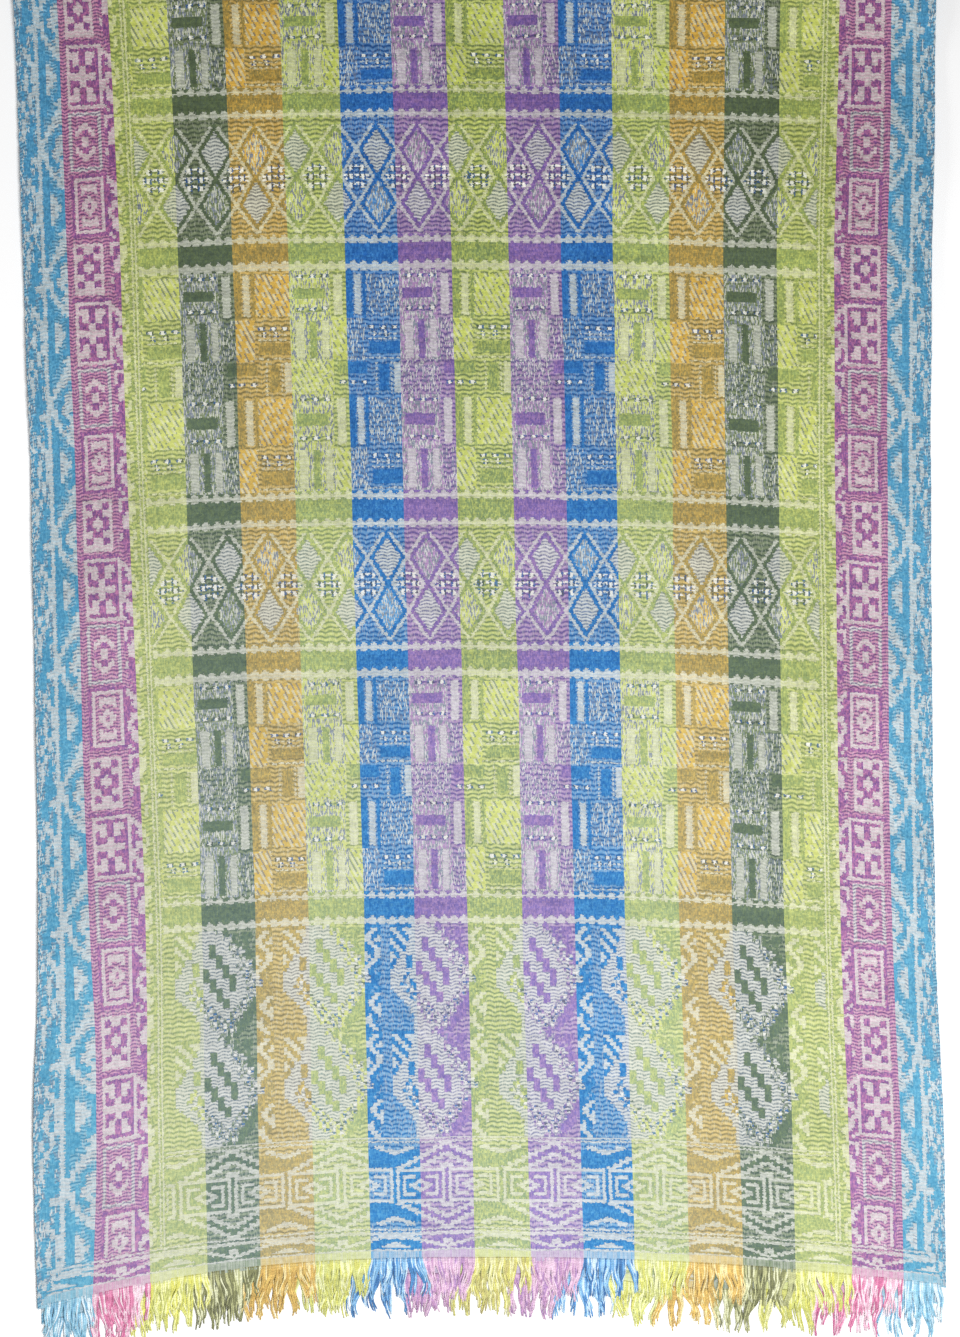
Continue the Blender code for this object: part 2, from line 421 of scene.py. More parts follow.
# Two drop shapes side by side, one to a stripe, charted two threads and two rows to a mark.
# Left: a stem between frets that widens to a bell in steps. Right: a stepped hook on a speckled ground.
paisleyRows = (
    "#####...#######-" "----/-##........",
    "##oo#...oo##ooo-" "------/#/##.###.",
    "#oo##...#oo##oo-" "------/-/#.####.",
    "oo##o...##oo##--" "--------/##.##..",
    "oo#oo...o##oo#--" "--##----/-##.#..",
    "#oo##...oo##o---" "--##----/*/-##..",
    "##oo#...#oo##---" "--##-----x/--##.",
    "###oo...##oo#---" "--####---/x/####",
    "o##oo...o##-----" "----##-----/-##.",
    "oo#oo...oo#--##-" "----##----*/-/-#",
    "o#oo#...o#---##-" "----####--/-/*x#",
    "#oo##...##---##-" "##----##---/--/#",
    "oo##....#----##-" "##----##-----x-/",
    "o##.....--------" "##----####--/x/-",
    "*##.#...-----#--" "####----##---x/*",
    "-x###...----#/--" "--##----##---/*x",
    "-x##....----/*#-" "--##----##-----/",
    "####....---#/-##" "--####--##---/xx",
    "###.#...-----*/#" "----##--------/-",
    "##.##....---/#*x" "----##-------/-/",
    "###oo.....----/#" "x---####----x/x#",
    "##oo#......---#*" "/-----##---/*/##",
    "#oo##.......---/" "-/x---##--/xx/##",
    "#oo#o........---" "/x*/-----/-/x###",
    "##ooo.........--" "*/-x/---/x-/####",
    "###oo.........--" "-/x/x/--/*/x###.",
    "#o##o..........-" "--/x/-/x/x/####.",
    "oo##...........-" "--/*/x-/x/####..",
    "oo#............-" "---/x/*/x/###...",
    "#oo#...........-" "------x/*/##....",
    "##oo#..........-" "-----./#/##.....",
)


def mountain(x, y):
    # stepped hills in outline, one to two stripes, with a flat hanging triangle between them
    aside = abs(x - 47.5)
    step, level = aside // 4, y // 2
    rises = aside % 4 > 2.4  # where a step goes down to the next one
    for outline in (0, 3):
        if level == step + outline or (rises and level == step + outline + 1):
            return cream if outline == 0 or aside < 20 else ground
    if level > step + 5 and aside < 4:
        return cream
    hang = abs(x - 15.5) // 3
    if y > 1 and y + hang * 1.25 < 7:
        return ground if y < 4 and hang < 2 else cream
    if step < level < step + 3:
        return deep
    return deep if x < 32 and level > 1 else ground


def cartouche(x, y, tall):
    # frames across the stripe edges, each with a stepped lozenge between two open frames
    local = abs((x + 16) % 32 - 15.5)
    level = abs(y - (tall - 1) / 2)
    field = deep if (x + 16) // 32 % 2 else ground
    inset = min(14.5 - local, (tall - 1) / 2 - level)
    if inset < 0:
        return deep
    if inset < 2:
        return cream
    if 3.4 < inset < 5.1 and local > 3:
        return cream
    lozenge = local / 2 + level
    if inset > 5.9 and lozenge < 4:
        return field if lozenge < 1.5 else cream
    return field


def lowSteps(x, y):
    # the last narrow band: a low stepped hill over a smaller one, then a hollow with a small square
    aside = abs((x + 16) % 64 - 31.5)
    outline = max(aside - 7, 0) // 4
    if outline <= y <= outline + 1 or (45 <= x <= 50 and 2 <= y <= 4):
        return cream
    if 4 + aside // 3 <= y < 7:
        return cream
    return deep if y > outline + 1 or aside > 22 else ground


# The side borders, charted from the selvedge inwards, two threads and two rows to a mark: dashes, a cream
# line, a stepped wave with small lozenges, a row of framed keys and a stepped inner wave
outerRows = (
    "/#o//", "/#o#/", "/o/#/", "/o/##", "/o/##", "/o/#/", "/o##/", "/o##/", "//##/", "//###",
    "//###", "//###", "//##/", "/##oo", "/##oo", "/###/", "/##//", "/##/#", "//#/#", "//o/#",
    "//o##", "//oo#", "///o#", "//#oo", "/#//o", "/#//o", "/#o/o", "/#o/o", "//o/o", "//o#/",
    "//o#o", "/#/#o", "/#/oo", "/#/o/", "/o/o/", "/o#o/", "/o#//",
)
waveRows = (
    "##..oo", "##..o-", "#..oo-", "#..o--", "#.oo-.", "#.o-..", "#oo.#.", "#o.#.-", "oo.#--", "o..#-o",
    "o.##-o", "o.#-oo", "oo#-o-", "oo#-o.", ".o##oo", "#o.##o", "#oo.#-", "#.o.-o", "##o-.o", "##.oo-",
    "##..o-", "###.oo", "###..o", "##..##", "##o..#", "##o-.#", "##oo.#", "##-oo#", "##-oo#", "##-o.#",
    "##oo.#", "##o..#", "##o.##", "###.##", "###.#o", "###.oo", "###..o",
)
innerRows = (
    "#o#o.", "###o.", "ooo..", "o##oo", "o##oo", "o#.oo", "##ooo", "#ooo.", "#ooo.", ".oo.#",
    ".oo.#", ".##.o", "o##.o", "o##oo", "###o.", ".##o.", ".##..", "..#.o", ".#..o", "..#.o",
    "o.#..", "oo...", "#oo.#", "##o.#", "#ooo.", "##oo.", "###.o", "#oo.o", "#oooo", "oo#o.",
    "o.#o.", "oo#..", "#oo.#", "#oo.#", "#ooo.", "##ooo", "o##oo",
)
fretHalf = ("ooo..ooo", "ooo..ooo", ".oo..oo.", ".oo..oo.", "...oo...", "...oo...", "oooooooo")
ringHalf = ("oo...oo", "oo...oo", "..ooo..", "..ooo..", "ooo.ooo", "oo...oo")
stepHalf = ("ooooo", "ooooo", "o...o", "..o..", ".ooo.", "oo.oo")
lozengeHalf = ("..oo..", ".oooo.", "oo##oo", "o.##.o", "..oo..")
lozengeMiddle = ("#.oo.#",)
keyBlocks = (
    # first and last row, first and last mark, frames from outside in, field, key mark, key
    (2, 16, 2, 10, "o", "o", "#", ringHalf + ringHalf[::-1]),
    (19, 36, 2, 12, "o", "#", "o", fretHalf + fretHalf[::-1]),
    (38, 54, 2, 11, "-", ".", "o", lozengeHalf + lozengeMiddle + lozengeHalf[::-1]),
    (56, 73, 2, 12, "#o", ".", "o", stepHalf + stepHalf[::-1]),
)
keyRepeat = 74  # marks along the cloth in one repeat of the four blocks
keyStart = 0.1951  # where a repeat starts, in metres from the fold
keyMarks = 13  # across the row of keys
sideThreads = 66  # width of a side border
endThreads = (62, 64)  # two single cream ones near its inner edge
cornerSlope, cornerRows = 1.75, 19  # how the side borders give way to the hem in the corners


def keyMark(x, y):
    # one mark of the framed keys
    for top, bottom, left, right, frames, field, key, shape in keyBlocks:
        if not (top <= y <= bottom and left <= x <= right):
            continue
        inset = min(y - top, bottom - y, x - left, right - x)
        if inset < len(frames):
            return frames[inset]
        row = y - (top + bottom + 1 - len(shape)) // 2
        column = x - (left + right + 1 - len(shape[0])) // 2
        if 0 <= row < len(shape) and 0 <= column < len(shape[0]):
            mark = shape[row][column]
            return key if mark == "o" else field if mark == "." else mark
        return field
    return "#" if y == 18 and x > 0 else "."


def sideBorder(thread, row):
    # thread is counted from the selvedge
    if thread in endThreads:
        return cream
    x = thread // 2
    y = (row - rowOf(keyStart)) // 2 % keyRepeat
    for rows in (outerRows, ("o",), waveRows, None, innerRows):
        wide = len(rows[0]) if rows else keyMarks
        if x < wide:
            return charted(rows, x, y) if rows else marks[keyMark(x, y)]
        x -= wide
    return ground if (y // 3 + x) % 2 else deep


def weaveAt(column, row):
    # what one cell of the chart is woven as; column from the left selvedge, row from the fold
    thread = column - columns // 2
    fromFold = (row + 0.5) * cellLength - bendExtra
    selvedge = min(column, columns - 1 - column)
    hem = layerRows - 1 - row
    if selvedge < sideThreads and hem > min(selvedge * cornerSlope, cornerRows):
        return sideBorder(selvedge, row)
    index = next(i for i, band in enumerate(bands) if fromFold < band[1])
    name, end = bands[index]
    first = rowOf(bands[index - 1][1]) if index else 0
    tall = rowOf(end) - first
    y = min(max(row - first, 0), tall - 1)
    # pair counts the threads through an even stripe and the odd one after it
    pair = (thread + threadsAStripe // 2) % (2 * threadsAStripe)
    odd, x = divmod(pair, threadsAStripe)
    if name in patches:
        return patches[name](odd, x, y, tall)
    if name in ("lineUp", "lineDown"):
        return scallop(x, y, tall)
    if name == "bar":
        return deep
    if name == "lattice":
        middle = (end + bands[index - 1][1]) / 2
        wide = acrossOf(thread + 1) - acrossOf(thread)
        return lattice(acrossOf(thread + 0.5), fromFold - middle, wide)
    if name == "paisley":
        mark = charted(paisleyRows, pair // 2, y // 2)
        return pale if mark in (bright, dark) and y % 2 else mark
    if name == "doubleLine":
        return ground if tall // 3 <= y < tall * 2 // 3 else cream
    if name == "mountain":
        return mountain(pair, y)
    if name == "mirrored":
        return mountain(pair, tall - 1 - y)
    if name == "cartouche":
        return cartouche(pair, y, tall)
    if name == "hemLine":
        return cream if y in (0, tall - 2, tall - 1) else ground
    if name == "lowSteps":
        return lowSteps(pair, y)
    if name == "lastLine":
        return cream
    return pale


# The woven sheet, both layers in one


def newObject(name, bm, material):
    for face in bm.faces:
        face.smooth = True
    mesh = bpy.data.meshes.new(name)
    bm.to_mesh(mesh)
    bm.free()
    mesh.materials.append(material)
    made = bpy.data.objects.new(name, mesh)
    bpy.context.scene.collection.objects.link(made)
    return made


def clothPoint(across, thread, section):
    # a point of the sheet; thread is the length from the fold along the warp, positive on the upper layer
    radius = lie["foldRadius"]
    arc = math.pi / 2 * radius
    rest = lie["thickness"] / 2
    lower = thread < 0
    if abs(thread) < arc:
        fromFold = radius * (1 - math.cos(thread / radius))
        height = rest + radius * (1 + math.sin(thread / radius))
    else:
        fromFold = radius + abs(thread) - arc
        height = rest
        if not lower:
            drop = smoothstep((fromFold - radius) / lie["foldSlope"])
            foldTop = rest + 2 * radius
            upperRest = rest + lie["thickness"] + lie["layerGap"]
            height = foldTop + (upperRest - foldTop) * drop + swellAt(across, fromFold) * drop
            scaleAcross, scaleAlong = lie["cockleScale"]
            height += lie["cockle"] * drop * (1 + wander(across * scaleAcross, thread * scaleAlong, 4.0))
    x, y = layAt(across, fromFold, lower, section)
    x += lie["warpWander"] * wander(across, thread * 0.7, 1.0)
    y += lie["weftWander"] * wander(across, thread, 2.0)
    return Vector((x, y, height))


def makeCloth(material):
    # rows of faces from the lower hem over the fold to the upper hem, with close rows round the fold
    faceRows = chart["facesALayer"]
    lines = [i - faceRows for i in range(2 * faceRows + 1)]
    extra = chart["foldLines"] + 1
    lines += [side * i / extra for side in (-1, 1) for i in range(1, extra)]
    lines.sort()
    bm = bmesh.new()
    uv = bm.loops.layers.uv.new("chartPlace")
    code = bm.faces.layers.float_color.new("weaveChart")
    across = chart["facesAcross"]
    bmesh.ops.create_grid(bm, x_segments=across, y_segments=len(lines) - 1, size=1.0)
    faceLength = layerThread / faceRows
    packed = packChart()
    for face in bm.faces:
        middle = face.calc_center_median()
        column = int((middle.x + 1) / 2 * across)
        rowLine = (middle.y + 1) / 2 * (len(lines) - 1)
        first, last = lines[int(rowLine)], lines[int(rowLine) + 1]
        face[code] = packed[int(abs(first + last) / 2)][column]
        for loop in face.loops:
            line = lines[round((loop.vert.co.y + 1) / 2 * (len(lines) - 1))]
            place = (loop.vert.co.x + 1) / 2 * columns
            loop[uv].uv = (place, abs(line) * chart["rowsAFace"])
    acrossHere = [acrossOf(i * chart["columnsAFace"] - columns // 2) for i in range(across + 1)]
    sectionsHere = {}
    for vert in bm.verts:
        column = round((vert.co.x + 1) / 2 * across)
        line = lines[round((vert.co.y + 1) / 2 * (len(lines) - 1))]
        thread = line * faceLength
        if line not in sectionsHere:
            sectionsHere[line] = sectionAt(max(abs(thread) - bendExtra, 0.0))
        point = clothPoint(acrossHere[column], thread, sectionsHere[line])
        if column in (0, across):
            nick = noise.noise(Vector((thread * lie["edgeWanderScale"], column, 9.0)))
            point.x += lie["edgeWander"] * nick
        vert.co = point
    for edge in bm.edges:
        edge.smooth = not edge.is_boundary  # keeps the rim's shading off the faces beside it
    cloth = newObject("wovenShawl", bm, material)
    solid = cloth.modifiers.new("clothThickness", "SOLIDIFY")
    solid.thickness = lie["thickness"]
    solid.offset = 0.0
    return cloth


def packChart():
    # for each face, four numbers of eight marks each: mark 0 in the lowest three bits, and so on
    wide, tall = chart["columnsAFace"], chart["rowsAFace"]
    packed = []
    for faceRow in range(chart["facesALayer"]):
        numbers = []
        for row in range(faceRow * tall, faceRow * tall + tall):
            cells = [weaveAt(column, row) for column in range(columns)]
            numbers.append([packCells(cells[i : i + wide]) for i in range(0, columns, wide)])
        packed.append([tuple(line[i] for line in numbers) for i in range(chart["facesAcross"])])
    return packed


def packCells(cells):
    return float(sum(mark << (3 * place) for place, mark in enumerate(cells)))


# Node helpers


def linear(red, green, blue):
    # a shader colour from one given in 0 to 255, as seen on a screen
    share = [value / 255 for value in (red, green, blue)]
    return tuple(c / 12.92 if c <= 0.04045 else ((c + 0.055) / 1.055) ** 2.4 for c in share) + (1.0,)


def plug(tree, value, socket):
    if isinstance(value, bpy.types.NodeSocket):
        tree.links.new(value, socket)
    else:
        socket.default_value = value


def plugAll(tree, values, node):
    for value, socket in zip(values, node.inputs):
        plug(tree, value, socket)


def addNode(tree, kind, **settings):
    node = tree.nodes.new(kind)
    for name, value in settings.items():
        setattr(node, name, value)
    return node


def calc(tree, operation, *values):
    node = addNode(tree, "ShaderNodeMath", operation=operation)
    plugAll(tree, values, node)
    return node.outputs[0]


def vectorCalc(tree, operation, *values, scale=None):
    node = addNode(tree, "ShaderNodeVectorMath", operation=operation)
    plugAll(tree, values, node)
    if scale is not None:
        plug(tree, scale, node.inputs["Scale"])
    return node.outputs[0]


def isMark(tree, code, mark):
    return calc(tree, "COMPARE", code, float(mark), 0.5)


def blend(tree, factor, first, second, kind="MIX"):
    node = addNode(tree, "ShaderNodeMix", data_type="RGBA", blend_type=kind)
    plug(tree, factor, node.inputs["Factor"])
    plug(tree, first, node.inputs[6])
    plug(tree, second, node.inputs[7])
    return node.outputs[2]


def tint(tree, mask, share, first, second):
    # from the first colour towards the second by a share of a mask
    return blend(tree, calc(tree, "MULTIPLY", mask, share), first, second)


def pack3(tree, x, y, z=0.0):
    node = addNode(tree, "ShaderNodeCombineXYZ")
    plugAll(tree, (x, y, z), node)
    return node.outputs[0]


def unpack3(tree, vector):
    node = addNode(tree, "ShaderNodeSeparateXYZ")
    plug(tree, vector, node.inputs[0])
    return node.outputs


def dice(tree, x, y, z=0.0):
    # a random number from 0 to 1 for each whole place
    node = addNode(tree, "ShaderNodeTexWhiteNoise", noise_dimensions="3D")
    plug(tree, pack3(tree, x, y, z), node.inputs["Vector"])
    return node.outputs["Value"]


def cloud(tree, place, scale, detail=2.0):
    node = addNode(tree, "ShaderNodeTexNoise")
    plug(tree, place, node.inputs["Vector"])
    node.inputs["Scale"].default_value = scale
    node.inputs["Detail"].default_value = detail
    return node.outputs["Fac"]


def newGroup(name, takes, gives):
    # takes and gives are socket names with f, c or v for a number, a colour or a vector
    kinds = {"f": "NodeSocketFloat", "c": "NodeSocketColor", "v": "NodeSocketVector"}
    tree = bpy.data.node_groups.new(name, "ShaderNodeTree")
    for label, kind in takes:
        tree.interface.new_socket(name=label, in_out="INPUT", socket_type=kinds[kind])
    for label, kind in gives:
        tree.interface.new_socket(name=label, in_out="OUTPUT", socket_type=kinds[kind])
    source = tree.nodes.new("NodeGroupInput").outputs
    result = tree.nodes.new("NodeGroupOutput").inputs
    return tree, source, result


def useGroup(tree, group, **values):
    node = addNode(tree, "ShaderNodeGroup", node_tree=group)
    for label, value in values.items():
        plug(tree, value, node.inputs[label])
    return node.outputs


def arrange(tree):
    # nodes in columns, each to the left of what it feeds
    depth = {node: 0 for node in tree.nodes}
    for _ in range(len(tree.nodes)):
        moved = False
        for link in tree.links:
            if depth[link.from_node] <= depth[link.to_node]:
                depth[link.from_node] = depth[link.to_node] + 1
                moved = True
        if not moved:
            break
    used = {}
    for node in tree.nodes:
        level = depth[node]
        node.location = (-220 * level, -180 * used.get(level, 0))
        used[level] = used.get(level, 0) + 1


# Shared shader groups


def makeThreadGrid():
    # finds the chart cell at a place, with uneven cell edges that stay in the face's own cells
    takes = (("Place", "v"), ("Jitter", "f"))
    tree, source, result = newGroup("threadGrid", takes, (("Column", "f"), ("Row", "f")))
    threadPlace, rowPlace = unpack3(tree, source["Place"])[:2]
    column = calc(tree, "FLOOR", threadPlace)
    halfRow = calc(tree, "FLOOR", calc(tree, "MULTIPLY", rowPlace, 2.0))
    for place, other, cells, output, seed in (
        (threadPlace, halfRow, chart["columnsAFace"], "Column", 3.0),
        (rowPlace, column, chart["rowsAFace"], "Row", 7.0),
    ):
        near = calc(tree, "FLOOR", calc(tree, "ADD", place, 0.5))
        shake = calc(tree, "SUBTRACT", dice(tree, near, other, seed), 0.5)
        moved = calc(tree, "MULTIPLY_ADD", shake, source["Jitter"], place)
        low = calc(tree, "SNAP", place, float(cells))
        kept = calc(tree, "MAXIMUM", moved, low)
        kept = calc(tree, "MINIMUM", kept, calc(tree, "ADD", low, cells - 0.002))
        plug(tree, calc(tree, "FLOOR", kept), result[output])
    arrange(tree)
    return tree


def makeChartCode():
    # reads a cell's mark from the four packed numbers of its face
    takes = (("Rows", "v"), ("Last Row", "f"), ("Column", "f"), ("Row", "f"))
    tree, source, result = newGroup("chartCode", takes, (("Mark", "f"),))
    rows = unpack3(tree, source["Rows"])
    subRow = calc(tree, "FLOORED_MODULO", source["Row"], float(chart["rowsAFace"]))
    value = calc(tree, "MULTIPLY", isMark(tree, subRow, 3), source["Last Row"])
    for index in range(3):
        value = calc(tree, "MULTIPLY_ADD", isMark(tree, subRow, index), rows[index], value)
    subColumn = calc(tree, "FLOORED_MODULO", source["Column"], float(chart["columnsAFace"]))
    divisor = 1.0
    for bit in range(3):
        high = calc(tree, "FLOOR", calc(tree, "DIVIDE", subColumn, float(2**bit)))
        isSet = calc(tree, "FLOORED_MODULO", high, 2.0)
        factor = calc(tree, "MULTIPLY_ADD", isSet, float(8 ** (2**bit) - 1), 1.0)
        divisor = calc(tree, "MULTIPLY", factor, divisor)
    shifted = calc(tree, "FLOOR", calc(tree, "DIVIDE", value, divisor))
    plug(tree, calc(tree, "FLOORED_MODULO", shifted, 8.0), result["Mark"])
    arrange(tree)
    return tree


# Dyes of the nine stripes, from the middle of the cloth outwards: light, deep and figure colour, then how
# the flecked patches are woven, 1 for slanting dashes and 0 for speckle
stripeDyes = (
    ((180, 190, 90), (108, 126, 78), (191, 195, 150), 1),  # yellow-green
    ((150, 114, 160), (98, 78, 140), (186, 181, 184), 0),  # purple
    ((62, 124, 184), (28, 82, 150), (178, 187, 187), 0),  # blue
    ((181, 191, 94), (120, 138, 86), (194, 198, 154), 1),  # yellow-green
    ((197, 158, 69), (128, 115, 66), (196, 190, 154), 1),  # gold
    ((93, 107, 67), (73, 86, 67), (178, 181, 165), 0),  # dark green
    ((185, 193, 97), (126, 143, 83), (198, 201, 152), 1),  # yellow-green
    ((188, 113, 149), (108, 70, 121), (194, 183, 183), 0),  # magenta
    ((95, 161, 192), (62, 126, 165), (180, 190, 192), 0),  # sky blue
)


def makeStripeColours():
    # the dyes of the stripe that a column is in
    gives = (("Light", "c"), ("Deep", "c"), ("Figure", "c"), ("Slanting", "f"))
    tree, source, result = newGroup("stripeColours", (("Column", "f"),), gives)
    thread = calc(tree, "ABSOLUTE", calc(tree, "SUBTRACT", source["Column"], columns / 2 - 0.5))
    thread = calc(tree, "ADD", thread, threadsAStripe / 2)
    number = calc(tree, "FLOOR", calc(tree, "DIVIDE", thread, float(threadsAStripe)))
    place = calc(tree, "DIVIDE", calc(tree, "ADD", number, 0.5), float(len(stripeDyes)))
    for index, label in enumerate(("Light", "Deep", "Figure")):
        node = addNode(tree, "ShaderNodeValToRGB")
        ramp = node.color_ramp
        ramp.interpolation = "CONSTANT"
        ramp.elements[1].position = 1 / len(stripeDyes)
        for stripe in range(2, len(stripeDyes)):
            ramp.elements.new(stripe / len(stripeDyes))
        for stop, dyes in zip(ramp.elements, stripeDyes):
            stop.color = linear(*dyes[index])[:3] + (float(dyes[3]),)
        plug(tree, place, node.inputs[0])
        plug(tree, node.outputs[0], result[label])
    plug(tree, node.outputs["Alpha"], result["Slanting"])
    arrange(tree)
    return tree


weaveLook = dict(
    greyThread=(108, 116, 129),
    whiteThread=(198, 199, 194),  # of the ribbed white fields
    brightThread=(224, 224, 212),
    navyThread=(48, 84, 138),
    oliveThread=(66, 70, 60),
    dashTall=2.0,  # rows in one dash of a thread
    dimBelow=0.3,  # share of the dashes that are dim
    paleAbove=0.78,  # and where the pale ones start
    groundCream=0.16,
    groundDim=0.3,  # how far the ground's dim dashes go towards the deep dye
    groundPale=0.24,  # and its pale ones towards the figure colour
    mottle=0.6,
    mottleMiddle=0.55,
    creamRibs=0.36,
    creamDim=0.2,
    creamShare=0.28,  # of the speckle, then the stripe's own colour, the rest grey
    ownShare=0.40,
    speckleRibs=0.2,
    shadeGrey=0.5,
    whiteShare=0.35,  # of white threads in the white fields, beside the figure colour
    whiteRibs=0.95,
    whiteRibSpread=0.8,  # how unevenly their ribs are coloured
    whiteRibLeast=0.55,
    fleckDim=0.6,
    brightTint=0.3,
    navyShare=0.5,
    darkTint=0.25,
    hemStreaks=0.5,
    hemTint=0.45,
    hemRows=6,
)
ribLook = dict(
    rows=(2.7, 2.0),  # in a rib of the ground, and in one of the white fields and side borders
    wander=3.4,  # rows that a rib strays from its line
    wanderScale=80.0,
    bow=0.9,  # rows that it bows up over each group of warp threads
    bowThreads=12.8,
    sharpness=1.3,
    depth=1.0,
    shade=0.72,  # of the deep dye, in a rib's painted shadow
)
slantLook = dict(
    pitch=6.0,  # threads from one slanting line to the next
    piecesARow=0.28,
    darkWidth=1.5,  # threads
    litStart=2.5,
    darkAbove=0.42,  # which pieces of a line are dark or lit
    litBelow=0.62,
    gaps=0.2,  # share of a dark piece's cells that are left out
    dark=0.85,
    lit=0.75,
)
heights = dict(pale=0.6, threads=0.3, ribs=-0.6, dashes=0.3)  # where a cream float has 1


def weftRibs(tree, place, thread, rowPlace):
    # two masks of ribs that bow and wander a little: broad ones for the ground, fine ones for white fields
    drift = calc(tree, "MULTIPLY", cloud(tree, place, ribLook["wanderScale"]), ribLook["wander"])
    bow = calc(tree, "SINE", calc(tree, "MULTIPLY", thread, math.pi / ribLook["bowThreads"]))
    drift = calc(tree, "MULTIPLY_ADD", calc(tree, "ABSOLUTE", bow), ribLook["bow"], drift)
    ribPlace = calc(tree, "ADD", rowPlace, drift)
    masks = []
    for rows in ribLook["rows"]:
        rib = calc(tree, "SINE", calc(tree, "MULTIPLY", ribPlace, 2 * math.pi / rows))
        masks.append(calc(tree, "POWER", calc(tree, "MULTIPLY_ADD", rib, 0.5, 0.5), ribLook["sharpness"]))
    return masks


def slantingDashes(tree, thread, row, knot, colours):
    # steep slanting lines in pieces, each with a dark and a lit side; the pieces of one line take turns
    light, figure, shade = colours
    slant = calc(tree, "SUBTRACT", thread, row)
    line = calc(tree, "FLOOR", calc(tree, "DIVIDE", slant, slantLook["pitch"]))
    slant = calc(tree, "FLOORED_MODULO", slant, slantLook["pitch"])
    start = dice(tree, line, 0.0, 2.0)
    piece = calc(tree, "FLOOR", calc(tree, "MULTIPLY_ADD", row, slantLook["piecesARow"], start))
    luck = calc(tree, "MULTIPLY", dice(tree, line, piece, 4.0), 0.5)
    turn = calc(tree, "FLOORED_MODULO", calc(tree, "ADD", line, piece), 2.0)
    luck = calc(tree, "MULTIPLY_ADD", turn, 0.5, luck)
    inDark = calc(tree, "LESS_THAN", slant, slantLook["darkWidth"])
    isDark = calc(tree, "MULTIPLY", inDark, calc(tree, "GREATER_THAN", luck, slantLook["darkAbove"]))
    isDark = calc(tree, "MULTIPLY", isDark, calc(tree, "GREATER_THAN", knot, slantLook["gaps"]))
    inLit = calc(tree, "GREATER_THAN", slant, slantLook["litStart"])
    isLit = calc(tree, "MULTIPLY", inLit, calc(tree, "LESS_THAN", luck, slantLook["litBelow"]))
    slanted = tint(tree, isLit, slantLook["lit"], light, figure)
    return tint(tree, isDark, slantLook["dark"], slanted, shade)


def floatHeight(tree, mark, places, ribMask, dash):
    # cream and bright floats stand up from the ribs, and single threads and picks show on all
    threadPlace, rowPlace = places
    raised = calc(tree, "ADD", isMark(tree, mark, cream), isMark(tree, mark, bright))
    raised = calc(tree, "MULTIPLY_ADD", isMark(tree, mark, pale), heights["pale"], raised)
    pick = calc(tree, "ABSOLUTE", calc(tree, "SINE", calc(tree, "MULTIPLY", rowPlace, math.pi)))
    end = calc(tree, "ABSOLUTE", calc(tree, "SINE", calc(tree, "MULTIPLY", threadPlace, 2 * math.pi)))
    relief = calc(tree, "MULTIPLY", calc(tree, "ADD", pick, end), heights["threads"])
    height = calc(tree, "MULTIPLY_ADD", ribMask, heights["ribs"], calc(tree, "ADD", relief, raised))
    return calc(tree, "MULTIPLY_ADD", dash, heights["dashes"], height)


